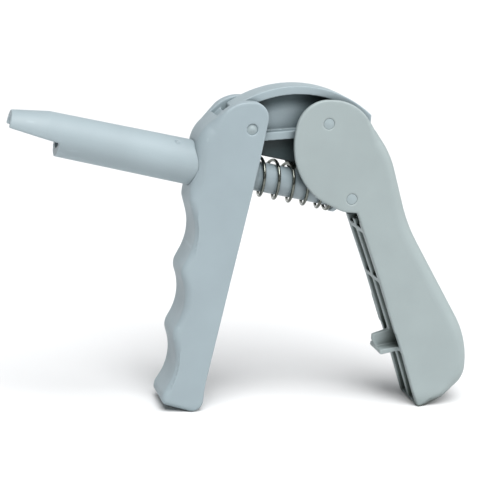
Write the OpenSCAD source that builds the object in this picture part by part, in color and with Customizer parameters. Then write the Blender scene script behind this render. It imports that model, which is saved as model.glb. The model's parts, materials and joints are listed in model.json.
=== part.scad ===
// Hand gun for dispensing unit-dose capsules: two handles, a top link, a plunger and a return spring.
// It stands on the ends of its two handles. +X points to the rear handle, the muzzle points to -X.

/* [Handles] */
// Width of both handles across the hand
handle_w = 18; // [17:0.5:20]
// Distance between the ridges of the finger grooves
groove_pitch = 22; // [20:0.5:23]
// Depth of a finger groove
groove_depth = 2.4; // [1.5:0.1:3]
// Thickness of the side walls of the two hollow handles
side_wall = 2.6; // [2:0.1:3]

/* [Barrel] */
// Outer diameter of the barrel where it enters the handle
barrel_d = 15.2; // [14.8:0.1:15.4]
// Outer diameter of the barrel just behind its nose
barrel_front_d = 14.2; // [13.6:0.1:14.6]
// Diameter of the nose at the muzzle
muzzle_d = 10.2; // [9.8:0.1:11]
// Bore that holds the body of a capsule
capsule_d = 6.6; // [6.2:0.1:7]
// Pocket that holds the flange of a capsule
capsule_flange_d = 8.4; // [8:0.1:8.6]

/* [Plunger and spring] */
// Diameter of the plunger rod
rod_d = 10.2; // [9.8:0.1:10.4]
// Diameter of the steel push pin in the front of the plunger
push_pin_d = 4; // [3:0.1:5]
// Outer diameter of the return spring
spring_d = 14; // [13.6:0.1:14.4]
// Thickness of the spring wire
wire_d = 1.1; // [0.9:0.1:1.2]
// Number of open turns of the spring
spring_turns = 7.3; // [6:0.1:8]

/* [Pivots] */
// Diameter of the three pivot pins
pin_d = 3.7; // [3.2:0.1:4]
// Radial play of a turning or sliding fit
play = 0.08; // [0.05:0.01:0.1]
// Width of the top link
link_w = 9.4; // [8.8:0.1:9.6]

/* [Hidden] */
$fn = 64;

handle_colour = [0.67, 0.73, 0.75];
lever_colour = [0.67, 0.72, 0.72];
barrel_colour = [0.76, 0.80, 0.83];
link_colour = [0.62, 0.69, 0.72];
steel_colour = [0.75, 0.76, 0.77];

// Pivots, as [x, z]
link_pivot = [-4.1, 99.5];
lever_pivot = [22.5, 102.1];
plunger_pivot = [32.9, 76.2];

// The barrel axis runs through the plunger pivot and climbs towards the muzzle.
// These are distances along it, in front of the plunger pivot.
barrel_tilt = 10.4;
muzzle_reach = 118.9;
flange_front = 108.6;
nose_start = 106.6;
port_start = 102.2;
rod_bore_front = 98;
push_pin_front = 98;
rod_front = 76;
push_pin_rear = 66;
socket_end = 60;
spring_seat = 46.7;
collar_front = 4.6;

// Rounded outlines: degrees of arc per point, rings per rounded edge, and the radius of a plain moulded edge
arc_step = 9;
edge_steps = 3;
sharp = 0.6;

// Length of a tool that cuts right through
cut = 60;

// Ribs in the hollow handles: thickness of the middle rib, and half a cross rib as a share of the channel
rib_t = 2;
rib_half = 0.013;
pocket_w = handle_w / 2 - side_wall;

function unit(v) = v / norm(v);
function xz(v) = [v[0], v[1]];
function mix(a, b, t) = a + (b - a) * t;

// The points of one rounded corner: each point is [x, z, edge radius]
function corner(a, b, c) =
    let (u = unit(xz(b) - xz(a)),
         v = unit(xz(c) - xz(b)),
         turn = acos(max(-1, min(1, u * v))),
         side = sign(cross(u, v)),
         tangent = b[2] * tan(turn / 2),
         start = xz(b) - u * tangent,
         centre = start + b[2] * side * [-u[1], u[0]],
         arm = start - centre,
         count = max(1, ceil(turn / arc_step)))
    turn < 3 ? [[b[0], b[1], b[3]]] :
    [for (i = [0:count])
        let (a0 = side * turn * i / count)
        [centre[0] + arm[0] * cos(a0) - arm[1] * sin(a0),
         centre[1] + arm[0] * sin(a0) + arm[1] * cos(a0),
         b[3]]];

// A closed outline from corners given as [x, z, corner radius, edge radius]
function outline(v) =
    let (n = len(v))
    [for (i = [0:n - 1]) each corner(v[(i + n - 1) % n], v[i], v[(i + 1) % n])];

function normal_at(p, i) =
    let (n = len(p), d = unit(xz(p[(i + 1) % n]) - xz(p[(i + n - 1) % n])))
    [d[1], -d[0]];

// One ring of a slab with rounded edges: f runs from 0 on the flat face to 1 on the rim
function ring(p, w, f, side) =
    [for (i = [0:len(p) - 1])
        let (e = p[i][2],
             q = xz(p[i]) - normal_at(p, i) * e * (1 - sin(90 * f)))
        [q[0], side * (w / 2 - e * (1 - cos(90 * f))), q[1]]];

// Triangles that fill a flat outline q, made by cutting off one ear at a time
function side_of(a, b, c) = cross(b - a, c - a);
function covers(a, b, c, p) = side_of(a, b, p) >= 0 && side_of(b, c, p) >= 0 && side_of(c, a, p) >= 0;
function is_ear(q, left, i) =
    let (n = len(left), a = q[left[(i + n - 1) % n]], b = q[left[i]], c = q[left[(i + 1) % n]])
    side_of(a, b, c) > 0
    && len([for (k = [2:n - 2]) if (covers(a, b, c, q[left[(i + k) % n]])) k]) == 0;
function next_ear(q, left, i) = i == len(left) - 1 || is_ear(q, left, i) ? i : next_ear(q, left, i + 1);
function ears(q, left) =
    let (n = len(left), i = next_ear(q, left, 0))
    n == 3 ? [left] :
    concat([[left[(i + n - 1) % n], left[i], left[(i + 1) % n]]],
           ears(q, [for (k = [0:n - 1]) if (k != i) left[k]]));

// A slab of width w across Y with the outline p, whose rim is rounded by each point's edge radius
module soft_slab(p, w) {
    n = len(p);
    rings = 2 * edge_steps + 2;
    points = [
        for (k = [0:edge_steps]) each ring(p, w, k / edge_steps, -1),
        for (k = [edge_steps:-1:0]) each ring(p, w, k / edge_steps, 1)
    ];
    flat = [for (q = ring(p, w, 0, 1)) [q[0], q[2]]];
    cap = ears(flat, [for (i = [0:n - 1]) i]);
    last = (rings - 1) * n;
    faces = [
        for (t = cap) t,
        for (t = cap) [last + t[2], last + t[1], last + t[0]],
        for (k = [0:rings - 2], i = [0:n - 1])
            let (j = (i + 1) % n)
            each [[k * n + i, (k + 1) * n + i, k * n + j],
                  [k * n + j, (k + 1) * n + i, (k + 1) * n + j]]
    ];
    polyhedron(points, faces, convexity = 10);
}

// A flat plate in the XZ plane, w wide across Y
module plate(w) {
    rotate([90, 0, 0]) linear_extrude(w, center = true) children();
}

// Places its children at a distance u in front of the plunger pivot, with +Z along the barrel
module on_axis(u) {
    translate([plunger_pivot[0] - u * cos(barrel_tilt), 0, plunger_pivot[1] + u * sin(barrel_tilt)])
        rotate([0, barrel_tilt - 90, 0]) children();
}

// Turns a profile of [radius, distance in front of the plunger pivot] about the barrel axis
module rotate_on_axis() {
    on_axis(0) rotate_extrude($fn = 96) children();
}

module pin(p, d, length) {
    translate([p[0], 0, p[1]]) rotate([90, 0, 0]) cylinder(d = d, h = length, center = true);
}

// The hollows of a handle: pockets on both sides of a middle rib, between cross ribs.
// The pockets' floor runs from floor_top to floor_end and their mouth from mouth_top to mouth_end.
module pockets(floor_top, floor_end, mouth_top, mouth_end, levels, w, rib) {
    for (side = [-1, 1], k = [0:len(levels) - 2]) {
        t0 = levels[k] + rib_half;
        t1 = levels[k + 1] - rib_half;
        translate([0, side * (rib / 2 + w) / 2, 0]) plate(w - rib / 2)
            polygon([mix(floor_top, floor_end, t0), mix(mouth_top, mouth_end, t0),
                     mix(mouth_top, mouth_end, t1), mix(floor_top, floor_end, t1)]);
    }
}

// Front handle ---------------------------------------------------------------

// The line that the ridges between the finger grooves touch
ridge_z = 50;
ridge_x = -25;
ridge_lean = 0.082;
groove_r = 19;
ridge_r = 6;
grip_edge = 2.6;
socket_edge = 4.4;
// How far the corners of the outline lie off that line before they are rounded
ridge_out = 0.6;
groove_in = 1.75 * groove_depth;
function grip_x(z) = ridge_x + (z - ridge_z) * ridge_lean;
function ridge(z) = [grip_x(z) - ridge_out, z, ridge_r, grip_edge];
function groove(z) = [grip_x(z) + groove_in, z, groove_r, grip_edge];

front_outline = outline([
    [-18.8, 0, 2, 1.2],
    [-14.9, 0.6, 4, 1],
    [-14.5, 9.4, 20, sharp],
    [-2.3, 78.5, 20, sharp],
    [-0.4, 90, 60, sharp],
    [2.3, 108.75, 5.6, sharp],
    [-9.95, 108.75, 12, sharp],
    [-22, 97.3, 12, socket_edge],
    [-23.4, 80, 10, socket_edge],
    ridge(ridge_z + 1.09 * groove_pitch),
    groove(ridge_z + 0.54 * groove_pitch),
    ridge(ridge_z),
    groove(ridge_z - 0.5 * groove_pitch),
    ridge(ridge_z - groove_pitch),
    groove(ridge_z - 1.5 * groove_pitch),
    [grip_x(6) - 0.5, 6.4, 3, 2],
    [-29.5, 3, 2, 1.8]
]);

link_slot_w = 10;
link_sweep_r = 5.8;
link_play = 0.6;
// The channel in the handle's back: its ends, the thickness of the grip in front of it, and its open side
channel_top = 70;
channel_end = 8;
grip_wall = 4.8;
back_x = -14;
back_lean = 0.17;
function channel_floor(z) = [grip_x(z) + grip_wall, z];
function channel_mouth(z) = [back_x + back_lean * z, z];
// The barrel's bore runs on through the handle's back
bore_rear = -10;
bore_length = 90;

module front_handle() {
    color(handle_colour) difference() {
        soft_slab(front_outline, handle_w);
        // slot for the top link between the two cheeks, with a shallow step in front of the link's end
        plate(link_slot_w) polygon([
            [-15.6, 112], [-15.4, 101.1], [-12, 104.3], [-11.4, 100], [-9.4, 97.2],
            link_pivot - [0, link_sweep_r], [12, link_pivot[1] - link_sweep_r], [12, 112]]);
        plate(link_slot_w) translate(link_pivot) circle(r = link_sweep_r);
        // hollows behind the finger grooves
        pockets(channel_floor(channel_top), channel_floor(channel_end),
                channel_mouth(channel_top), channel_mouth(channel_end),
                [0, 0.34, 0.67, 1], pocket_w, rib_t);
        // socket for the barrel and pocket for the spring
        on_axis(bore_rear) cylinder(d = barrel_d, h = bore_length);
        pin(link_pivot, pin_d, cut);
    }
}

// Barrel ---------------------------------------------------------------------

// The loading port's upper edge starts this far below the axis and rises towards the muzzle
port_drop = 1.7;
port_rise = 5;

module barrel() {
    color(barrel_colour) difference() {
        rotate_on_axis() polygon([
            [barrel_d / 2, spring_seat], [barrel_d / 2, socket_end], [barrel_front_d / 2, nose_start],
            [muzzle_d / 2, muzzle_reach], [capsule_d / 2, muzzle_reach], [capsule_d / 2, flange_front],
            [capsule_flange_d / 2, flange_front], [capsule_flange_d / 2, rod_bore_front],
            [rod_d / 2 + play, rod_bore_front], [rod_d / 2 + play, spring_seat]]);
        // loading port: the underside of the nose is cut away
        on_axis(port_start) translate([-port_drop, 0, 0]) difference() {
            rotate([0, port_rise, 0]) translate([-cut / 2, 0, 0]) cube(cut, center = true);
            translate([0, 0, -cut / 2]) cube([2 * cut, 2 * cut, cut], center = true);
        }
    }
}

// Top link -------------------------------------------------------------------

arch_centre = [13.4, 74.1];
arch_r = 39.9;
flange_t = 2.8;
web_t = 3;
link_front_x = -10.3;
link_rear_x = 38.8;
rear_boss_d = 11;
// The lower flange's top and the web's lowest edge, below the line through the two pivots
bar_top = 2.2;
web_drop = 5.2;
// The skirt of the web fills the space down to the spring
skirt_front = 1.6;
skirt_rear = 17;
spring_gap = 0.35;
function axis_z(x) = plunger_pivot[1] + (plunger_pivot[0] - x) * tan(barrel_tilt);
function skirt_z(x) = axis_z(x) + (spring_d / 2 + spring_gap) / cos(barrel_tilt);

module arch_area() {
    intersection() {
        translate(arch_centre) circle(r = arch_r, $fn = 180);
        polygon([[link_front_x, 102], [link_front_x, 120], [link_rear_x, 120], [link_rear_x, 101.5],
                 [30, 99.5], [26, 97], lever_pivot - [0, web_drop], link_pivot - [0, web_drop],
                 link_pivot - [4, 2]]);
    }
}

module top_link() {
    color(link_colour) difference() {
        union() {
            // upper flange, web and skirt
            plate(link_w) difference() {
                arch_area();
                translate(arch_centre) circle(r = arch_r - flange_t, $fn = 180);
            }
            plate(web_t) arch_area();
            plate(web_t) polygon([
                [skirt_front, 100], [skirt_front, skirt_z(skirt_front)],
                [skirt_rear, skirt_z(skirt_rear)], [skirt_rear + 2, 99]]);
            // lower flange, parallel to the line through the two pivots
            plate(link_w) polygon([
                link_pivot - [0, bar_top], lever_pivot - [0, bar_top],
                lever_pivot - [0, bar_top + flange_t], link_pivot - [0, bar_top + flange_t]]);
            pin(link_pivot, 2 * (link_sweep_r - link_play), link_w);
            pin(lever_pivot, rear_boss_d, link_w);
        }
        pin(link_pivot, pin_d + 2 * play, cut);
        pin(lever_pivot, pin_d + 2 * play, cut);
    }
}

// Rear handle ----------------------------------------------------------------

lever_back = 5;
// The lug on the middle rib that meets the front handle at the end of the stroke
lug_tip = [49.6, 18.7];
lug_chin = [48, 22.8];
lug_top = [47.9, 24.9];
lug_root_top = [53.9, 26.9];
lug_root_end = [56.9, 20.3];
lug_plate_t = 1.8;
lug_w = 11;

lever_outline = outline([
    [67.4, 0.1, 2, 2],
    [72.5, 1.4, 14, 3.4],
    [82.8, 9.7, 9.5, lever_back],
    [82.8, 24.5, 34, lever_back],
    [55.8, 66.3, 60, lever_back],
    [46.2, 92.7, 35, 4],
    [31.3, 110.2, 16, sharp],
    [12.6, 110.2, 11, sharp],
    [9.8, 89, 24, sharp],
    [19.2, 76.6, 20, sharp],
    [30.4, 71.4, 12, sharp],
    [35.4, 71.3, 0.8, sharp],
    [46.4, 45.6, 90, sharp],
    [lug_root_top[0], lug_root_top[1], 0.5, 0.3],
    [lug_top[0], lug_top[1], 0.5, 0.3],
    [lug_chin[0], lug_chin[1], 0.8, 0.3],
    [lug_tip[0], lug_tip[1] + lug_plate_t, 0.3, 0.3],
    [lug_tip[0], lug_tip[1], 0.6, 0.3],
    [lug_root_end[0], lug_root_end[1], 0.5, 0.3],
    [64.5, 0, 1.2, sharp]
]);
cheek_gap = 14.6;
// The channel between the side walls: its mouth runs from mouth_top to mouth_end, and the pockets
// that cut it start a little outside the mouth and end short of the crowned back
mouth_top = [36.6, 68.5];
mouth_end = [65.3, 0.1];
mouth_out = [6, -2.6];
floor_top = mouth_top + [15, -3];
floor_rise = [6, 3.2];
floor_end = mouth_end + floor_rise;
lug_at = 0.692;
// The two bosses that stand out from the cheeks to the top link
boss_d = 9;
boss_gap = 0.4;
boss_reach = 6;

module rear_handle() {
    color(lever_colour) difference() {
        soft_slab(lever_outline, handle_w);
        // the head is two cheeks joined by the back wall, with bosses beside the top link
        difference() {
            plate(cheek_gap) polygon([
                [5, 67], [36, 67.5], [51.4, 69.5], [49.2, 75.5], [45.4, 86], [40, 96.2], [37.2, 99.8],
                [47, 100.9], [47, 118], [5, 118]]);
            for (side = [-1, 1])
                translate([lever_pivot[0], side * (link_w + boss_gap + boss_reach) / 2, lever_pivot[1]])
                    rotate([90, 0, 0]) cylinder(d = boss_d, h = boss_reach, center = true);
        }
        pockets(floor_top, floor_end, mouth_top - mouth_out, mouth_end - floor_rise,
                [0, 0.07, 0.323, lug_at, 1], pocket_w, rib_t);
        // the lug is a narrow cross plate under the middle rib
        for (side = [-1, 1]) {
            translate([0, side * (lug_w / 2 + handle_w) / 2, 0]) lug_trim(handle_w - lug_w / 2, 4, 0);
            translate([0, side * (rib_t + lug_w + 1) / 4, 0])
                lug_trim((lug_w + 1 - rib_t) / 2, 0, lug_plate_t);
        }
        pin(lever_pivot, pin_d, cut);
        pin(plunger_pivot, pin_d, cut);
    }
}

// The space in front of the handle's mouth beside the lug, from below the lug or above its plate
module lug_trim(w, below, plate_t) {
    plate(w) polygon([
        lug_root_top + [0.05, 0.3], lug_root_top + [-8, 4], lug_tip + [-4, plate_t - below],
        lug_tip + [0, plate_t - below],
        lug_root_end + [-(plate_t > 0 ? 1 : 0), plate_t - (below > 0 ? 0.3 : 0)]]);
}

// Plunger --------------------------------------------------------------------

collar_t = 1.8;
eye_r = 4.6;
eye_w = cheek_gap - 0.5;
// Half the travel of the pin in the eye, along and across the barrel axis
eye_along = 0.4;
eye_across = 1.15;

module plunger_rod() {
    eye_d = pin_d + 2 * play;
    color(handle_colour) difference() {
        union() {
            on_axis(0) cylinder(d = rod_d, h = rod_front);
            on_axis(collar_front - collar_t) cylinder(d = spring_d - 0.2, h = collar_t);
            pin(plunger_pivot, 2 * eye_r, eye_w);
        }
        // the eye is long across the axis, so that the pin can swing on its arc
        on_axis(0) for (end = [-1, 1], along = [-1, 1])
            translate([end * eye_across, 0, along * eye_along]) rotate([90, 0, 0])
                cylinder(d = eye_d, h = cut, center = true);
        on_axis(0) cube([2 * eye_across, cut, eye_d + 2 * eye_along], center = true);
        on_axis(0) cube([2 * eye_across + eye_d, cut, 2 * eye_along], center = true);
        on_axis(push_pin_rear) cylinder(d = push_pin_d, h = cut);
    }
}

module push_pin() {
    point = 0.8;
    r = push_pin_d / 2;
    color(steel_colour) rotate_on_axis() polygon([
        [0, push_pin_rear], [r, push_pin_rear], [r, push_pin_front - point],
        [r - point / 2, push_pin_front], [0, push_pin_front]]);
}

// Return spring --------------------------------------------------------------

coil_r = spring_d / 2 - wire_d / 2;
spring_rear = collar_front;
spring_len = spring_seat - spring_rear;
end_turns = 1;
all_turns = spring_turns + 2 * end_turns;
turn_steps = 20;
wire_sides = 8;
seat_gap = 0.02;
open_rise = spring_len - (2 * end_turns + 1) * wire_d - 2 * seat_gap;

// Height of the wire's centre above the rear seat after t turns: one close turn at each end
function coil_z(t) =
    wire_d / 2 + seat_gap + min(t, end_turns) * wire_d
    + max(0, min(t - end_turns, spring_turns)) / spring_turns * open_rise
    + max(0, t - end_turns - spring_turns) * wire_d;

module return_spring() {
    count = ceil(all_turns * turn_steps);
    points = [
        for (k = [0:count])
            let (t = all_turns * k / count, a = 360 * t)
            for (s = [0:wire_sides - 1])
                let (b = 360 * s / wire_sides, r = coil_r + wire_d / 2 * cos(b))
                [r * cos(a), r * sin(a), coil_z(t) + wire_d / 2 * sin(b)]
    ];
    faces = [
        [for (s = [0:wire_sides - 1]) s],
        [for (s = [wire_sides - 1:-1:0]) count * wire_sides + s],
        for (k = [0:count - 1], s = [0:wire_sides - 1])
            let (a = k * wire_sides + s, b = k * wire_sides + (s + 1) % wire_sides)
            each [[a, a + wire_sides, b], [b, a + wire_sides, b + wire_sides]]
    ];
    color(steel_colour) on_axis(spring_rear) polyhedron(points, faces, convexity = 12);
}

// Pivot pins -----------------------------------------------------------------

module pivot_pin(p, proud) {
    color(handle_colour) pin(p, pin_d, handle_w + 2 * proud);
}

module front_pivot_pin() {
    pivot_pin(link_pivot, 0.2);
}

module rear_pivot_pin() {
    pivot_pin(lever_pivot, 0);
}

module plunger_pin() {
    pivot_pin(plunger_pivot, 0);
}

front_handle();
barrel();
front_pivot_pin();
top_link();
rear_handle();
rear_pivot_pin();
plunger_pin();
plunger_rod();
push_pin();
return_spring();
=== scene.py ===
import json
import math

import bmesh
import bpy
from mathutils import Matrix, Vector


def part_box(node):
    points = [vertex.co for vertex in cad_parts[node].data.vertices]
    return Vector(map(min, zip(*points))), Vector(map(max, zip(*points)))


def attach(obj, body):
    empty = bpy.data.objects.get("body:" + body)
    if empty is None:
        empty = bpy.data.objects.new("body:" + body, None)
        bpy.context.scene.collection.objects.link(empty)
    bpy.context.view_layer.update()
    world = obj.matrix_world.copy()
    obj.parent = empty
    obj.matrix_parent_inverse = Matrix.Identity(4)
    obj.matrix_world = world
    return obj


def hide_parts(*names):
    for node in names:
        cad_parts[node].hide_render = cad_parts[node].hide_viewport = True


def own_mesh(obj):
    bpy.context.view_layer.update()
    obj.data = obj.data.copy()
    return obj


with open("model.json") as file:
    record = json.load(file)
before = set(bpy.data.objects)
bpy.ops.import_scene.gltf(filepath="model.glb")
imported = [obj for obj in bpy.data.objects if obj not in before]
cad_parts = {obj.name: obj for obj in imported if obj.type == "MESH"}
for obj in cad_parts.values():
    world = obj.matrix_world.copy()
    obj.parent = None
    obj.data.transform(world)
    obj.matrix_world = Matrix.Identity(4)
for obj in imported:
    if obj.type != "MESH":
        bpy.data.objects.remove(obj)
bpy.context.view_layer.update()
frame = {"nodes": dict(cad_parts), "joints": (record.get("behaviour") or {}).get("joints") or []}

# Shapes are drawn in millimetres, as in the CAD source, and scaled to metres when a piece is finished.
MM = 0.001

# Resolution of the moulded pieces: degrees of an arc in one step, the least turn that is rounded, rings
# across a rounded edge, then the remeshing of a whole piece
ARC_STEP = 4
LEAST_TURN = 3
EDGE_RINGS = 7
VOXEL = 0.26
SMOOTH_PASSES = 5

# Shared dimensions of the CAD model, in mm
HANDLE_W = 18
SIDE_WALL = 2.6
SHARP = 0.6
BARREL_D = 15.2
BARREL_FRONT_D = 14.2
MUZZLE_D = 10.2
CAPSULE_D = 6.6
FLANGE_D = 8.4
ROD_D = 10.2
PIN_D = 3.7
PLAY = 0.08
LINK_W = 9.4
SPRING_D = 14
WIRE_D = 1.1
SPRING_TURNS = 7.3

# Length of a tool that cuts right through a piece
TOOL_LENGTH = 40

# Distances along the barrel axis, in front of the plunger pivot
MUZZLE = 118.9
FLANGE_FRONT = 108.6
NOSE_START = 106.6
PORT_START = 102.2
BORE_FRONT = 98
ROD_FRONT = 76
PUSH_PIN_REAR = 66
SOCKET_END = 60
SPRING_SEAT = 46.7
COLLAR_FRONT = 4.6


# Places from the frame -------------------------------------------------------

def joint(name):
    return next(j for j in frame["joints"] if j["name"] == name)


def flat(point):
    """The [x, z] of a place in metres, in mm."""
    return Vector((point[0], point[2])) / MM


def middle(node):
    low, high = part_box(node)
    return (low + high) / 2


LINK_PIVOT = flat(joint("link_swing")["pos_m"])
LEVER_PIVOT = flat(joint("squeeze")["pos_m"])
PLUNGER_PIVOT = flat(middle("plunger_pin"))
AXIS = Vector(joint("plunger_slide")["axis"]).normalized()
ACROSS = Vector((0, 1, 0))
# Turns local +Z onto the barrel axis and local +X upwards
ALONG = Matrix((AXIS.cross(ACROSS) * -1, ACROSS, AXIS)).transposed().to_4x4()


def on_axis(u):
    """A frame at the distance u in front of the plunger pivot, with +Z along the barrel, in mm."""
    origin = Vector((PLUNGER_PIVOT[0], 0, PLUNGER_PIVOT[1])) + AXIS * u
    return Matrix.Translation(origin) @ ALONG


def beside_axis(up, u):
    """The (x, z) of a place above the barrel axis and u in front of the plunger pivot, in mm."""
    place = on_axis(u) @ Vector((up, 0, 0))
    return (place.x, place.z)


# Outlines --------------------------------------------------------------------

def outline(corners):
    """Rounds corners given as (x, z, corner radius, edge radius) into points (x, z, edge radius)."""
    points = []
    count = len(corners)
    for i, (x, z, radius, edge) in enumerate(corners):
        here = Vector((x, z))
        came = (here - Vector(corners[i - 1][:2])).normalized()
        goes = (Vector(corners[(i + 1) % count][:2]) - here).normalized()
        turn = math.acos(max(-1, min(1, came.dot(goes))))
        if math.degrees(turn) < LEAST_TURN:
            points.append((x, z, edge))
            continue
        side = math.copysign(1, came.x * goes.y - came.y * goes.x)
        start = here - came * radius * math.tan(turn / 2)
        centre = start + Vector((-came.y, came.x)) * radius * side
        steps = max(2, math.ceil(math.degrees(turn) / ARC_STEP))
        for k in range(steps + 1):
            arm = start - centre
            arm.rotate(Matrix.Rotation(side * turn * k / steps, 2))
            points.append((*(centre + arm), edge))
    return points


def outline_normals(points):
    normals = []
    for i in range(len(points)):
        after = Vector(points[(i + 1) % len(points)][:2])
        along = (after - Vector(points[i - 1][:2])).normalized()
        normals.append(Vector((along.y, -along.x)))
    return normals


# Closed solids, in mm --------------------------------------------------------

def new_object(name, bm):
    bmesh.ops.recalc_face_normals(bm, faces=bm.faces)
    mesh = bpy.data.meshes.new(name)
    bm.to_mesh(mesh)
    bm.free()
    made = bpy.data.objects.new(name, mesh)
    bpy.context.scene.collection.objects.link(made)
    return made


def skin_rings(name, rings):
    """A closed solid from a stack of rings with equal numbers of points."""
    bm = bmesh.new()
    rows = [[bm.verts.new(p) for p in ring] for ring in rings]
    for low, high in zip(rows, rows[1:]):
        for i in range(len(low)):
            j = (i + 1) % len(low)
            bm.faces.new((low[i], low[j], high[j], high[i]))
    caps = [bm.faces.new(rows[0]), bm.faces.new(rows[-1])]
    bmesh.ops.triangulate(bm, faces=caps)
    return new_object(name, bm)


def soft_slab(name, points, width):
    """A slab across Y whose rim is rounded by each point's edge radius."""
    normals = outline_normals(points)
    rings = []
    for side in (-1, 1):
        half = []
        for k in range(EDGE_RINGS + 1):
            angle = math.pi / 2 * k / EDGE_RINGS
            ring = []
            for (x, z, edge), normal in zip(points, normals):
                inset = edge * (1 - math.sin(angle))
                drop = edge * (1 - math.cos(angle))
                ring.append((x - normal.x * inset, side * (width / 2 - drop), z - normal.y * inset))
            half.append(ring)
        rings += half if side < 0 else half[::-1]
    return skin_rings(name, rings)


def prism(points, low, high):
    """A flat plate between Y = low and Y = high with the outline points."""
    return skin_rings("prism", [[(p[0], y, p[1]) for p in points] for y in (low, high)])


def plate(points, width):
    return prism(points, -width / 2, width / 2)


def lathe(profile, place, sides=96, name="lathe"):
    """Turns a closed profile of (radius, height) about local Z. A radius of 0 ends on the axis."""
    bm = bmesh.new()
    rows = []
    for radius, height in profile:
        if radius == 0:
            rows.append([bm.verts.new(place @ Vector((0, 0, height)))] * sides)
            continue
        rows.append([bm.verts.new(place @ Vector((radius * math.cos(a), radius * math.sin(a), height)))
                     for a in (2 * math.pi * k / sides for k in range(sides))])
    for i, low in enumerate(rows):
        high = rows[(i + 1) % len(rows)]
        for k in range(sides):
            j = (k + 1) % sides
            face = []
            for v in (low[k], low[j], high[j], high[k]):
                if v not in face:
                    face.append(v)
            if len(face) > 2:
                bm.faces.new(face)
    return new_object(name, bm)


def across(point, low):
    """A frame at point whose +Z runs along +Y from Y = low."""
    return Matrix.Translation((point[0], low, point[1])) @ Matrix.Rotation(-math.pi / 2, 4, "X")


def pin_shape(point, diameter, low, high, sides=64):
    r = diameter / 2
    return lathe([(0, 0), (r, 0), (r, high - low), (0, high - low)], across(point, low), sides)


def bar(u0, u1, diameter, sides=96):
    r = diameter / 2
    return lathe([(0, u0), (r, u0), (r, u1), (0, u1)], on_axis(0), sides)


# Mesh work -------------------------------------------------------------------

def bake(made):
    """Replaces a mesh with what its modifiers make of it."""
    graph = bpy.context.evaluated_depsgraph_get()
    mesh = bpy.data.meshes.new_from_object(made.evaluated_get(graph))
    made.modifiers.clear()
    made.data = mesh


def combine(made, tools, operation):
    for tool in tools:
        step = made.modifiers.new("combine", "BOOLEAN")
        step.operation = operation
        step.solver = "MANIFOLD"
        step.object = tool
    bake(made)
    for tool in tools:
        bpy.data.objects.remove(tool)
    return made


def join(made, *tools):
    return combine(made, tools, "UNION")


def cut(made, *tools):
    return combine(made, tools, "DIFFERENCE")


def mould(made, share=0.2, voxel=VOXEL, passes=SMOOTH_PASSES):
    """Gives every edge and inner corner the small radius of a moulding, then keeps a share of the faces."""
    remesh = made.modifiers.new("remesh", "REMESH")
    remesh.mode = "VOXEL"
    remesh.voxel_size = voxel
    soften = made.modifiers.new("soften", "SMOOTH")
    soften.factor = 0.5
    soften.iterations = passes
    thin = made.modifiers.new("thin", "DECIMATE")
    thin.ratio = share
    bake(made)
    return made


def piece(made, name, body, slot, material, *nodes):
    """Finishes a piece: metres, smooth shading, material, body and the CAD nodes it stands for. The slot
    argument is not used.
    """
    made.name = name
    made.data.name = name
    made.data.transform(Matrix.Scale(MM, 4))
    for face in made.data.polygons:
        face.use_smooth = True
    made.data.materials.clear()
    made.data.materials.append(material)
    weight = made.modifiers.new("normals", "WEIGHTED_NORMAL")
    weight.keep_sharp = True
    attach(made, body)
    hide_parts(*nodes)
    return made


# Materials -------------------------------------------------------------------

def node(tree, kind, **sockets):
    made = tree.nodes.new(kind)
    for key, value in sockets.items():
        made.inputs[key.replace("_", " ")].default_value = value
    return made


def noise(tree, place, scale, detail=3.0):
    made = node(tree, "ShaderNodeTexNoise", Scale=scale, Detail=detail)
    tree.links.new(place, made.inputs["Vector"])
    return made.outputs["Fac"]


def ramp(tree, factor, stops):
    made = tree.nodes.new("ShaderNodeValToRGB")
    band = made.color_ramp
    band.elements[0].position, band.elements[0].color = stops[0][0], (*stops[0][1], 1)
    band.elements[1].position, band.elements[1].color = stops[-1][0], (*stops[-1][1], 1)
    for at, colour in stops[1:-1]:
        band.elements.new(at).color = (*colour, 1)
    tree.links.new(factor, made.inputs["Fac"])
    return made.outputs["Color"]


def multiply(tree, colour, tone):
    made = tree.nodes.new("ShaderNodeMix")
    made.data_type = "RGBA"
    made.blend_type = "MULTIPLY"
    made.inputs["Factor"].default_value = 1
    tree.links.new(colour, made.inputs["A"])
    tree.links.new(tone, made.inputs["B"])
    return made.outputs["Result"]


def shade(colour, factor):
    return tuple(min(1, c * factor) for c in colour)


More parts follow.
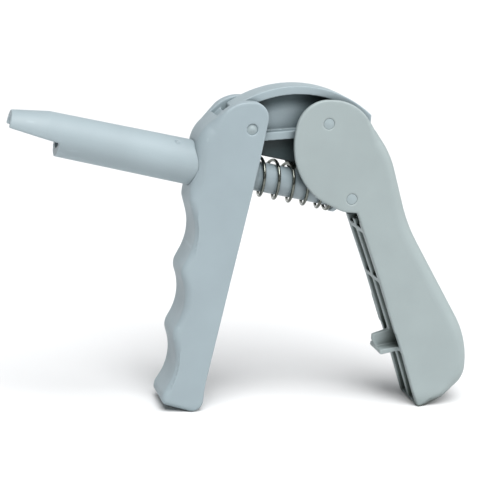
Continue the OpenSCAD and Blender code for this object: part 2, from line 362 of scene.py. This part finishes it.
def plastic(name, colour, roughness=0.5, grain=0.12, recess_shade=(0.6, 0.65, 0.65), reach=0.007,
            span=(0.15, 0.75)):
    """Satin moulded plastic: slight flow mottling, a painted highlight along every convex edge, darker
    creases, painted shade in recesses, fine spark grain.

    Recesses are darkened with painted shade, to the given tone where less than span[0] of the space within
    reach (m) is open, and not at all where more than span[1] is.
    """
    made = bpy.data.materials.new(name)
    made.use_nodes = True
    tree = made.node_tree
    shader = tree.nodes["Principled BSDF"]
    place = tree.nodes.new("ShaderNodeTexCoord").outputs["Object"]
    mottle = noise(tree, place, 55, 4)
    tone = ramp(tree, mottle, [(0.35, shade(colour, 0.965)), (0.65, shade(colour, 1.03))])
    geometry = tree.nodes.new("ShaderNodeNewGeometry")
    # Painted highlight: every convex edge is made paler by the mesh's pointiness; creases are made darker.
    edge_highlight_and_dark_creases = ramp(tree, geometry.outputs["Pointiness"],
                 [(0.44, (0.84,) * 3), (0.5, (1,) * 3), (0.58, (1.08,) * 3)])
    # Painted shade: hollows are darkened where little of the space round them is open.
    depth = node(tree, "ShaderNodeAmbientOcclusion", Distance=reach)
    depth.samples = 8
    painted_recess_shade = ramp(tree, depth.outputs["AO"], [(span[0], recess_shade), (span[1], (1,) * 3)])
    tree.links.new(multiply(tree, multiply(tree, tone, edge_highlight_and_dark_creases), painted_recess_shade), shader.inputs["Base Color"])
    wear = ramp(tree, noise(tree, place, 160, 5),
                [(0.3, (roughness - 0.05,) * 3), (0.7, (roughness + 0.06,) * 3)])
    tree.links.new(wear, shader.inputs["Roughness"])
    bump = node(tree, "ShaderNodeBump", Strength=grain, Distance=0.00006)
    tree.links.new(noise(tree, place, 3200, 2), bump.inputs["Height"])
    tree.links.new(bump.outputs["Normal"], shader.inputs["Normal"])
    shader.inputs["Specular IOR Level"].default_value = 0.45
    return made


def steel(name, colour, roughness):
    """Bright drawn or ground steel with faint draw marks."""
    made = bpy.data.materials.new(name)
    made.use_nodes = True
    tree = made.node_tree
    shader = tree.nodes["Principled BSDF"]
    shader.inputs["Metallic"].default_value = 1
    place = tree.nodes.new("ShaderNodeTexCoord").outputs["Object"]
    tone = ramp(tree, noise(tree, place, 700, 4),
                [(0.3, shade(colour, 0.8)), (0.7, shade(colour, 1.1))])
    tree.links.new(tone, shader.inputs["Base Color"])
    wear = ramp(tree, noise(tree, place, 2500, 3),
                [(0.3, (roughness - 0.06,) * 3), (0.7, (roughness + 0.08,) * 3)])
    tree.links.new(wear, shader.inputs["Roughness"])
    bump = node(tree, "ShaderNodeBump", Strength=0.08, Distance=0.00003)
    tree.links.new(noise(tree, place, 6000, 2), bump.inputs["Height"])
    tree.links.new(bump.outputs["Normal"], shader.inputs["Normal"])
    return made


def shadow(made, operation, spot, stops):
    """Tones a material by the distance from a spot (m) or along a direction: stops are (mm, tone)."""
    tree = made.node_tree
    shader = tree.nodes["Principled BSDF"]
    place = tree.nodes.new("ShaderNodeTexCoord").outputs["Object"]
    measure = tree.nodes.new("ShaderNodeVectorMath")
    measure.operation = operation
    measure.inputs[1].default_value = spot
    tree.links.new(place, measure.inputs[0])
    first, last = stops[0][0], stops[-1][0]
    share = node(tree, "ShaderNodeMapRange", From_Min=first * MM, From_Max=last * MM)
    tree.links.new(measure.outputs["Value"], share.inputs["Value"])
    shares = [((at - first) / (last - first), tone) for at, tone in stops]
    tones = ramp(tree, share.outputs["Result"], shares)
    colour = shader.inputs["Base Color"]
    tree.links.new(multiply(tree, colour.links[0].from_socket, tones), colour)


HANDLE_PLASTIC = plastic("handle_plastic", (0.275, 0.335, 0.362))
# The lever and the link take deeper painted shade in their hollows, over a wider reach.
LEVER_PLASTIC = plastic("lever_plastic", (0.288, 0.337, 0.340),
                        recess_shade=(0.05, 0.08, 0.05), reach=0.012, span=(0.22, 0.72))
BARREL_PLASTIC = plastic("barrel_plastic", (0.300, 0.362, 0.388), 0.55)
LINK_PLASTIC = plastic("link_plastic", (0.297, 0.360, 0.386),
                       recess_shade=(0.08, 0.12, 0.13), reach=0.011, span=(0.25, 0.76))
PLUNGER_PLASTIC = plastic("plunger_plastic", (0.257, 0.312, 0.336), 0.34)
PIN_PLASTIC = plastic("pin_plastic", (0.280, 0.337, 0.352), 0.4, 0.3)
SPRING_STEEL = steel("spring_steel", (0.155, 0.165, 0.145), 0.16)
PUSH_PIN_STEEL = steel("push_pin_steel", (0.60, 0.60, 0.58), 0.28)


# Hollow handles --------------------------------------------------------------

RIB_T = 2
# Half of a cross rib, as a share of the hollow's height
RIB_HALF = 0.013
POCKET_W = HANDLE_W / 2 - SIDE_WALL


def pockets(floor_top, floor_end, mouth_top, mouth_end, levels):
    """The hollows of a handle: pockets on both sides of a middle rib, between cross ribs."""
    floor_top, floor_end, mouth_top, mouth_end = map(Vector, (floor_top, floor_end, mouth_top, mouth_end))
    made = []
    for above, below in zip(levels, levels[1:]):
        t0, t1 = above + RIB_HALF, below - RIB_HALF
        points = [floor_top.lerp(floor_end, t0), mouth_top.lerp(mouth_end, t0),
                  mouth_top.lerp(mouth_end, t1), floor_top.lerp(floor_end, t1)]
        made.append(prism(points, RIB_T / 2, POCKET_W))
        made.append(prism(points, -POCKET_W, -RIB_T / 2))
    return made


def pin_holes(*points):
    """Through holes whose rims have a small chamfer, so that a ring shows round each pin."""
    rim, depth = 0.16, 0.2
    r = PIN_D / 2
    half = HANDLE_W / 2
    profile = [(0, -0.5), (r + rim, -0.5), (r + rim, 0), (r, depth), (r, 2 * half - depth),
               (r + rim, 2 * half), (r + rim, 2 * half + 0.5), (0, 2 * half + 0.5)]
    return [lathe(profile, across(p, -half), 64) for p in points]


# Front handle
# The grip's front at the middle ridge and its lean, then its finger grooves and the ridges between them
GRIP_X = -25
GRIP_LEAN = 0.082
GROOVE_PITCH = 22
GROOVE_REACH = 4.2
RIDGE_REACH = 0.6
RIDGE_Z = 50
# Edge radii of the grip and the barrel's socket
GRIP_EDGE = 2.6
SOCKET_EDGE = 4.4
# The slot for the link
LINK_SLOT_W = 10
LINK_SWEEP_R = 5.8
# The channel in the handle's back: its ends, the thickness of the grip in front of it, and its open side
CHANNEL_TOP = 70
CHANNEL_END = 8
GRIP_WALL = 4.8
BACK_X = -14
BACK_LEAN = 0.17
CHANNEL_RIBS = [0, 0.34, 0.67, 1]


def grip_x(z):
    return GRIP_X + (z - RIDGE_Z) * GRIP_LEAN


def channel_floor(z):
    return (grip_x(z) + GRIP_WALL, z)


def channel_mouth(z):
    return (BACK_X + BACK_LEAN * z, z)


def ridge(z):
    return (grip_x(z) - RIDGE_REACH, z, 6, GRIP_EDGE)


def groove(z):
    return (grip_x(z) + GROOVE_REACH, z, 19, GRIP_EDGE)


def front_handle():
    made = soft_slab("front_handle", outline([
        (-18.8, 0, 2, 1.2),
        (-14.9, 0.6, 4, 1),
        (-14.5, 9.4, 20, SHARP),
        (-2.3, 78.5, 20, SHARP),
        (-0.4, 90, 60, SHARP),
        (2.3, 108.75, 5.6, SHARP),
        (-9.95, 108.75, 12, SHARP),
        (-22, 97.3, 12, SOCKET_EDGE),
        (-23.4, 80, 10, SOCKET_EDGE),
        ridge(RIDGE_Z + 1.09 * GROOVE_PITCH),
        groove(RIDGE_Z + 0.54 * GROOVE_PITCH),
        ridge(RIDGE_Z),
        groove(RIDGE_Z - 0.5 * GROOVE_PITCH),
        ridge(RIDGE_Z - GROOVE_PITCH),
        groove(RIDGE_Z - 1.5 * GROOVE_PITCH),
        (grip_x(6) - 0.5, 6.4, 3, 2),
        (-29.5, 3, 2, 1.8)]), HANDLE_W)
    x, z = LINK_PIVOT
    slot = plate([(-15.6, 112), (-15.4, 101.1), (-12, 104.3), (-11.4, 100), (-9.4, 97.2),
                  (x, z - LINK_SWEEP_R), (12, z - LINK_SWEEP_R), (12, 112)], LINK_SLOT_W)
    sweep = pin_shape(LINK_PIVOT, 2 * LINK_SWEEP_R, -LINK_SLOT_W / 2, LINK_SLOT_W / 2)
    hollows = pockets(channel_floor(CHANNEL_TOP), channel_floor(CHANNEL_END),
                      channel_mouth(CHANNEL_TOP), channel_mouth(CHANNEL_END), CHANNEL_RIBS)
    socket = bar(-10, SOCKET_END + 20, BARREL_D)
    cut(made, slot, sweep, *hollows, socket, *pin_holes(LINK_PIVOT))
    return mould(made)


# Rear handle
# Edge radius of the lever's back, the gap between its cheeks, and the bosses in it beside the link
LEVER_BACK = 5
CHEEK_GAP = 14.6
BOSS_D = 9
BOSS_GAP = 0.4
BOSS_REACH = 6
# The lug on the lever's front: its corners, its plate's thickness, its width and its share of the height
LUG_TIP = Vector((49.6, 18.7))
LUG_CHIN = Vector((48, 22.8))
LUG_TOP = Vector((47.9, 24.9))
LUG_ROOT_TOP = Vector((53.9, 26.9))
LUG_ROOT_END = Vector((56.9, 20.3))
LUG_PLATE_T = 1.8
LUG_W = 11
LUG_AT = 0.692
# The ends of the lever's open mouth, the ways out of it and into its floor, and the cross ribs' shares
MOUTH_TOP = Vector((36.6, 68.5))
MOUTH_END = Vector((65.3, 0.1))
MOUTH_OUT = Vector((-6, 2.6))
FLOOR_IN = Vector((15, -3))
FLOOR_RISE = Vector((6, 3.2))
POCKET_RIBS = [0, 0.07, 0.323, LUG_AT, 1]


def lug_trim(low, high, below, plate_t):
    """The space in front of the mouth beside the lug, from below the lug or above its plate."""
    clear = 0.3
    foot = plate_t - below
    root = Vector((-1 if plate_t else 0, plate_t - (clear if below else 0)))
    points = [LUG_ROOT_TOP + Vector((0.05, clear)), LUG_ROOT_TOP + Vector((-8, 4)),
              LUG_TIP + Vector((-4, foot)), LUG_TIP + Vector((0, foot)), LUG_ROOT_END + root]
    return prism(points, low, high)


def rear_handle():
    made = soft_slab("rear_handle", outline([
        (67.4, 0.1, 2, 2),
        (72.5, 1.4, 14, 3.4),
        (82.8, 9.7, 9.5, LEVER_BACK),
        (82.8, 24.5, 34, LEVER_BACK),
        (55.8, 66.3, 60, LEVER_BACK),
        (46.2, 92.7, 35, 4),
        (31.3, 110.2, 16, SHARP),
        (12.6, 110.2, 11, SHARP),
        (9.8, 89, 24, SHARP),
        (19.2, 76.6, 20, SHARP),
        (30.4, 71.4, 12, SHARP),
        (35.4, 71.3, 0.8, SHARP),
        (46.4, 45.6, 90, SHARP),
        (*LUG_ROOT_TOP, 0.5, 0.3),
        (*LUG_TOP, 0.5, 0.3),
        (*LUG_CHIN, 0.8, 0.3),
        (LUG_TIP.x, LUG_TIP.y + LUG_PLATE_T, 0.3, 0.3),
        (*LUG_TIP, 0.6, 0.3),
        (*LUG_ROOT_END, 0.5, 0.3),
        (64.5, 0, 1.2, SHARP)]), HANDLE_W)
    gap = plate([(5, 67), (36, 67.5), (51.4, 69.5), (49.2, 75.5), (45.4, 86), (40, 96.2), (37.2, 99.8),
                 (47, 100.9), (47, 118), (5, 118)], CHEEK_GAP)
    near = (LINK_W + BOSS_GAP) / 2
    far = near + BOSS_REACH
    cut(gap, pin_shape(LEVER_PIVOT, BOSS_D, near, far), pin_shape(LEVER_PIVOT, BOSS_D, -far, -near))
    hollows = pockets(MOUTH_TOP + FLOOR_IN, MOUTH_END + FLOOR_RISE,
                      MOUTH_TOP + MOUTH_OUT, MOUTH_END - FLOOR_RISE, POCKET_RIBS)
    # The lug is narrower than the lever, and hollow beside the middle rib above its plate
    outside, edge, overlap = HANDLE_W / 2 + 1, LUG_W / 2, 0.5
    trims = [lug_trim(edge, outside, 4, 0), lug_trim(-outside, -edge, 4, 0),
             lug_trim(RIB_T / 2, edge + overlap, 0, LUG_PLATE_T),
             lug_trim(-edge - overlap, -RIB_T / 2, 0, LUG_PLATE_T)]
    cut(made, gap, *hollows, *trims, *pin_holes(LEVER_PIVOT, PLUNGER_PIVOT))
    return mould(made)


# Barrel
# The loading port's upper edge starts this far below the axis and rises towards the muzzle
PORT_DROP = 1.7
PORT_RISE = math.tan(math.radians(5))
# The mark left by the mould's gate: its place along the barrel, turn to the near side, radius and depth
GATE_AT = 63.3
GATE_TURN = math.radians(-30)
GATE_R = 0.9
GATE_DEPTH = 0.55


def barrel():
    bore = ROD_D / 2 + PLAY
    made = lathe([
        (BARREL_D / 2, SPRING_SEAT), (BARREL_D / 2, SOCKET_END), (BARREL_FRONT_D / 2, NOSE_START),
        (MUZZLE_D / 2, MUZZLE), (CAPSULE_D / 2, MUZZLE), (CAPSULE_D / 2, FLANGE_FRONT),
        (FLANGE_D / 2, FLANGE_FRONT), (FLANGE_D / 2, BORE_FRONT),
        (bore, BORE_FRONT), (bore, SPRING_SEAT)], on_axis(0), 128, "barrel")
    port_end = PORT_START + TOOL_LENGTH
    port = plate([beside_axis(-PORT_DROP, PORT_START),
                  beside_axis(-PORT_DROP + TOOL_LENGTH * PORT_RISE, port_end),
                  beside_axis(-TOOL_LENGTH, port_end),
                  beside_axis(-TOOL_LENGTH, PORT_START)], TOOL_LENGTH)
    gate_mark = lathe([(0, 0), (GATE_R, 0), (GATE_R, TOOL_LENGTH), (0, TOOL_LENGTH)],
                      on_axis(GATE_AT) @ Matrix.Rotation(GATE_TURN, 4, "Z")
                      @ Matrix.Translation((BARREL_D / 2 - GATE_DEPTH, 0, 0))
                      @ Matrix.Rotation(math.pi / 2, 4, "Y"), 48)
    cut(made, port, gate_mark)
    return mould(made, share=0.25)


# Top link
# The arched upper flange and the web below it
ARCH_CENTRE = Vector((13.4, 74.1))
ARCH_R = 39.9
FLANGE_T = 2.8
WEB_T = 3
LINK_FRONT_X = -10.3
LINK_REAR_X = 38.8
# The rounded ends: their play in the handle's slot in front, their diameter at the lever
LINK_PLAY = 0.6
REAR_BOSS_D = 11
# The lower flange's top and the web's foot below the line between the pivots
BAR_TOP = 2.2
WEB_DROP = 5.2
# The web's skirt over the spring: its ends, and how close it comes
SKIRT_FRONT = 1.6
SKIRT_REAR = 17
SPRING_GAP = 0.35

# Painted shade: the link's web is darker below the upper flange and darkest under the lower flange, where
# the flanges shade it
PLAIN, DIM, DARK = (1, 1, 1), (0.32, 0.39, 0.40), (0.09, 0.13, 0.13)
WEB_TOP_R = ARCH_R - FLANGE_T
shadow(LINK_PLASTIC, "DISTANCE", (ARCH_CENTRE.x * MM, 0, ARCH_CENTRE.y * MM),
       [(WEB_TOP_R - 5.6, PLAIN), (WEB_TOP_R - 2.1, DIM), (WEB_TOP_R - 0.2, DIM), (WEB_TOP_R, PLAIN)])
BAR_LEAN = (LEVER_PIVOT.y - LINK_PIVOT.y) / (LEVER_PIVOT.x - LINK_PIVOT.x)
BAR_FOOT = LINK_PIVOT.y - BAR_LEAN * LINK_PIVOT.x - BAR_TOP - FLANGE_T
shadow(LINK_PLASTIC, "DOT_PRODUCT", (BAR_LEAN, 0, -1), [(-0.1 - BAR_FOOT, PLAIN), (0.5 - BAR_FOOT, DARK)])


def arch(radius, reverse=False):
    """Points of an arc over the link, from its front end to its rear end."""
    steps = 60
    first = math.acos((LINK_FRONT_X - ARCH_CENTRE.x) / radius)
    last = math.acos((LINK_REAR_X - ARCH_CENTRE.x) / radius)
    angles = [first + (last - first) * k / steps for k in range(steps + 1)]
    points = [ARCH_CENTRE + radius * Vector((math.cos(a), math.sin(a))) for a in angles]
    return points[::-1] if reverse else points


def skirt_z(x):
    """Height of the web's skirt, just clear of the spring."""
    slope = -AXIS.z / AXIS.x
    axis_z = PLUNGER_PIVOT.y + (PLUNGER_PIVOT.x - x) * slope
    return axis_z + (SPRING_D / 2 + SPRING_GAP) / -AXIS.x


def top_link():
    upper = plate(arch(ARCH_R) + arch(ARCH_R - FLANGE_T, reverse=True), LINK_W)
    upper.name = "top_link"
    drop = Vector((0, WEB_DROP))
    web = plate(arch(ARCH_R - 0.5) + [
        (LINK_REAR_X, 101.5), (30, 99.5), (26, 97), LEVER_PIVOT - drop, LINK_PIVOT - drop,
        LINK_PIVOT - Vector((4, 2)), (LINK_FRONT_X, 102)], WEB_T)
    skirt = plate([(SKIRT_FRONT, 100), (SKIRT_FRONT, skirt_z(SKIRT_FRONT)),
                   (SKIRT_REAR, skirt_z(SKIRT_REAR)), (SKIRT_REAR + 2, 99)], WEB_T)
    top, foot = Vector((0, BAR_TOP)), Vector((0, BAR_TOP + FLANGE_T))
    lower = plate([LINK_PIVOT - top, LEVER_PIVOT - top, LEVER_PIVOT - foot, LINK_PIVOT - foot], LINK_W)
    half = LINK_W / 2
    join(upper, web, skirt, lower, pin_shape(LINK_PIVOT, 2 * (LINK_SWEEP_R - LINK_PLAY), -half, half),
         pin_shape(LEVER_PIVOT, REAR_BOSS_D, -half, half))
    bore = PIN_D + 2 * PLAY
    cut(upper, *(pin_shape(pivot, bore, -TOOL_LENGTH / 2, TOOL_LENGTH / 2)
                 for pivot in (LINK_PIVOT, LEVER_PIVOT)))
    return mould(upper, share=0.3)


# Plunger
COLLAR_T = 1.8
PUSH_PIN_D = 4
EYE_R = 4.6
EYE_W = CHEEK_GAP - 0.5
EYE_ALONG = 0.4
EYE_ACROSS = 1.15


def plunger_rod():
    r = ROD_D / 2
    lead = 0.6
    collar_r = SPRING_D / 2 - 0.1
    made = lathe([(0, 0), (r, 0), (r, COLLAR_FRONT - COLLAR_T), (collar_r, COLLAR_FRONT - COLLAR_T),
                  (collar_r, COLLAR_FRONT), (r, COLLAR_FRONT), (r, ROD_FRONT - lead),
                  (r - lead, ROD_FRONT), (0, ROD_FRONT)], on_axis(0), 96, "plunger_rod")
    join(made, pin_shape(PLUNGER_PIVOT, 2 * EYE_R, -EYE_W / 2, EYE_W / 2))
    # The eye's bore is a little longer and higher than its pin, which swings while the rod slides
    bore_r = PIN_D / 2 + PLAY
    eye = []
    steps = 8
    for cx, cz, first in ((1, 1, 0), (-1, 1, 90), (-1, -1, 180), (1, -1, 270)):
        for k in range(steps + 1):
            a = math.radians(first + 90 * k / steps)
            eye.append(beside_axis(cx * EYE_ACROSS + bore_r * math.cos(a),
                                   cz * EYE_ALONG + bore_r * math.sin(a)))
    cut(made, plate(eye, TOOL_LENGTH), bar(PUSH_PIN_REAR, ROD_FRONT + 1, PUSH_PIN_D, 48))
    return mould(made, share=0.25)


def push_pin():
    r = PUSH_PIN_D / 2
    front = front_reach("push_pin")
    point = 0.8
    lead = 0.2
    return lathe([(0, PUSH_PIN_REAR), (r - lead, PUSH_PIN_REAR), (r, PUSH_PIN_REAR + lead),
                  (r, front - point), (r - 0.1, front - point * 0.6), (r - 0.3, front - 0.08),
                  (r - 0.5, front), (0, front)], on_axis(0), 64, "push_pin")


def front_reach(name):
    """How far a node reaches in front of the plunger pivot along the barrel axis, in mm."""
    corners = [Vector(v.co) / MM for v in frame["nodes"][name].data.vertices]
    origin = Vector((PLUNGER_PIVOT[0], 0, PLUNGER_PIVOT[1]))
    return max((c - origin).dot(AXIS) for c in corners)


# Pivot pins
def pivot_pin(name, point, sunk, crown):
    """A heat-staked pin: each end's rim lies sunk below the handle's side, its middle crown above it."""
    clearance, shoulder = 0.02, 0.35
    r = PIN_D / 2 - clearance
    end = HANDLE_W / 2
    half = [(r, end - sunk - shoulder)]
    steps = 10
    for k in range(steps + 1):
        t = k / steps
        half.append((r * (1 - t), end - sunk + (sunk + crown) * 0.5 * (1 - math.cos(math.pi * t))))
    profile = [(radius, height + end) for radius, height in half]
    mirrored = [(radius, end - height) for radius, height in half[::-1]]
    return lathe(mirrored + profile, across(point, -end), 48, name)


# Return spring
def return_spring():
    """A right-handed helix of round wire with a closed and ground turn at each end."""
    coil_r = (SPRING_D - WIRE_D) / 2
    length = SPRING_SEAT - COLLAR_FRONT
    seat = 0.02
    turns = SPRING_TURNS + 2
    rise = length - 3 * WIRE_D - 2 * seat
    steps = int(turns * 56)
    sides = 16
    tip, tip_growth = 0.25, 6
    rings = []
    for k in range(steps + 1):
        t = turns * k / steps
        z = (WIRE_D / 2 + seat + min(t, 1) * WIRE_D
             + max(0, min(t - 1, SPRING_TURNS)) / SPRING_TURNS * rise
             + max(0, t - 1 - SPRING_TURNS) * WIRE_D)
        a = 2 * math.pi * t
        taper = min(1, tip + tip_growth * t, tip + tip_growth * (turns - t))
        ring = []
        for s in range(sides):
            b = 2 * math.pi * s / sides
            r = coil_r + WIRE_D / 2 * math.cos(b)
            ring.append(on_axis(COLLAR_FRONT) @ Vector((r * math.cos(a), r * math.sin(a),
                                                        z + WIRE_D / 2 * taper * math.sin(b))))
        rings.append(ring)
    return skin_rings("return_spring", rings)


# Pieces ----------------------------------------------------------------------

piece(front_handle(), "grip_shell", "grip", "handle_plastic", HANDLE_PLASTIC, "front_handle")
piece(rear_handle(), "lever_shell", "lever", "lever_plastic", LEVER_PLASTIC, "rear_handle")
piece(barrel(), "barrel_tube", "grip", "barrel_plastic", BARREL_PLASTIC, "barrel")
piece(top_link(), "link_bar", "link", "link_plastic", LINK_PLASTIC, "top_link")
piece(plunger_rod(), "plunger_body", "plunger", "plunger_plastic", PLUNGER_PLASTIC, "plunger_rod")
piece(push_pin(), "push_pin_steel", "plunger", "push_pin_steel", PUSH_PIN_STEEL, "push_pin")
for pin_name, pin_at, pin_body, sunk, crown in (("front_pivot_pin", LINK_PIVOT, "grip", 0.45, 0.1),
                                                ("rear_pivot_pin", LEVER_PIVOT, "lever", 0.2, 0.05),
                                                ("plunger_pin", PLUNGER_PIVOT, "lever", 0.15, 0.0)):
    piece(pivot_pin(pin_name, pin_at, sunk, crown), pin_name + "_staked", pin_body, "pin_plastic",
          PIN_PLASTIC, pin_name)
spring = piece(return_spring(), "spring_coil", "grip", "spring_steel", SPRING_STEEL, "return_spring")
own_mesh(spring)


# Floor, light and camera -----------------------------------------------------

# Where the lamps point, in metres
OBJECT_MIDDLE = (0, 0, 0.06)


def studio_material(name, colour):
    made = bpy.data.materials.new(name)
    made.use_nodes = True
    tree = made.node_tree
    shader = tree.nodes["Principled BSDF"]
    place = tree.nodes.new("ShaderNodeTexCoord").outputs["Object"]
    tone = ramp(tree, noise(tree, place, 9, 2), [(0.3, shade(colour, 0.99)), (0.7, colour)])
    tree.links.new(tone, shader.inputs["Base Color"])
    shader.inputs["Roughness"].default_value = 0.8
    return made


def backdrop():
    """A pale floor that curves up into a wall behind the object."""
    half, back, bend, height = 4.0, 4.0, 0.8, 3.0
    steps = 12
    profile = [(-back, 0), (back - bend, 0)]
    profile += [(back - bend + bend * math.sin(a), bend - bend * math.cos(a))
                for a in (math.pi / 2 * k / steps for k in range(1, steps + 1))]
    profile.append((back, height))
    bm = bmesh.new()
    rows = [[bm.verts.new((side * half, y, z)) for side in (-1, 1)] for y, z in profile]
    for low, high in zip(rows, rows[1:]):
        bm.faces.new((low[0], low[1], high[1], high[0]))
    made = new_object("floor", bm)
    for face in made.data.polygons:
        face.use_smooth = True
    made.data.materials.append(studio_material("pale_floor", (0.74, 0.745, 0.75)))


def area_light(name, place, aim, size, power):
    lamp = bpy.data.lights.new(name, "AREA")
    lamp.shape = "DISK"
    lamp.size = size
    lamp.energy = power
    made = bpy.data.objects.new(name, lamp)
    bpy.context.scene.collection.objects.link(made)
    made.location = place
    made.rotation_mode = "QUATERNION"
    made.rotation_quaternion = (Vector(aim) - Vector(place)).to_track_quat("-Z", "Y")


def camera():
    """The photograph's view: from the front left of the grip, a little above, slightly rolled."""
    azimuth, elevation, roll = (math.radians(a) for a in (-15.5, 14, 4.065))
    distance = 0.52785
    look_at = Vector((-0.0006, -0.00104, 0.05681))
    back = Vector((math.sin(azimuth) * math.cos(elevation), -math.cos(azimuth) * math.cos(elevation),
                   math.sin(elevation)))
    level = Vector((math.cos(azimuth), math.sin(azimuth), 0))
    upright = back.cross(level)
    right = level * math.cos(roll) + upright * math.sin(roll)
    up = upright * math.cos(roll) - level * math.sin(roll)
    lens = bpy.data.cameras.new("camera")
    lens.lens = 111.05
    lens.sensor_width = 36
    lens.clip_start, lens.clip_end = 0.01, 20
    made = bpy.data.objects.new("camera", lens)
    bpy.context.scene.collection.objects.link(made)
    turn = Matrix((right, up, back)).transposed().to_4x4()
    made.matrix_world = Matrix.Translation(look_at + back * distance) @ turn
    bpy.context.scene.camera = made


def key_light(toward, strength, softness):
    """An overhead studio bank, so wide and far that it lights the whole floor evenly."""
    lamp = bpy.data.lights.new("key", "SUN")
    lamp.energy = strength
    lamp.angle = math.radians(softness)
    made = bpy.data.objects.new("key", lamp)
    bpy.context.scene.collection.objects.link(made)
    made.rotation_mode = "QUATERNION"
    made.rotation_quaternion = Vector(toward).to_track_quat("Z", "Y")


def surround(colour, strength):
    """A faint even light from all round."""
    world = bpy.data.worlds.new("studio")
    world.use_nodes = True
    background = world.node_tree.nodes["Background"]
    background.inputs["Color"].default_value = (*colour, 1)
    background.inputs["Strength"].default_value = strength
    bpy.context.scene.world = world


backdrop()
key_light(toward=(-0.10, -0.64, 1.12), strength=4.2, softness=45)
area_light("rim", (0.75, -0.2, 0.5), OBJECT_MIDDLE, size=0.5, power=3)
area_light("fill", (-0.5, -1.2, 0.5), OBJECT_MIDDLE, size=0.5, power=1)
surround((0.95, 0.97, 1), 0.15)
bpy.context.scene.view_settings.view_transform = "Standard"
camera()
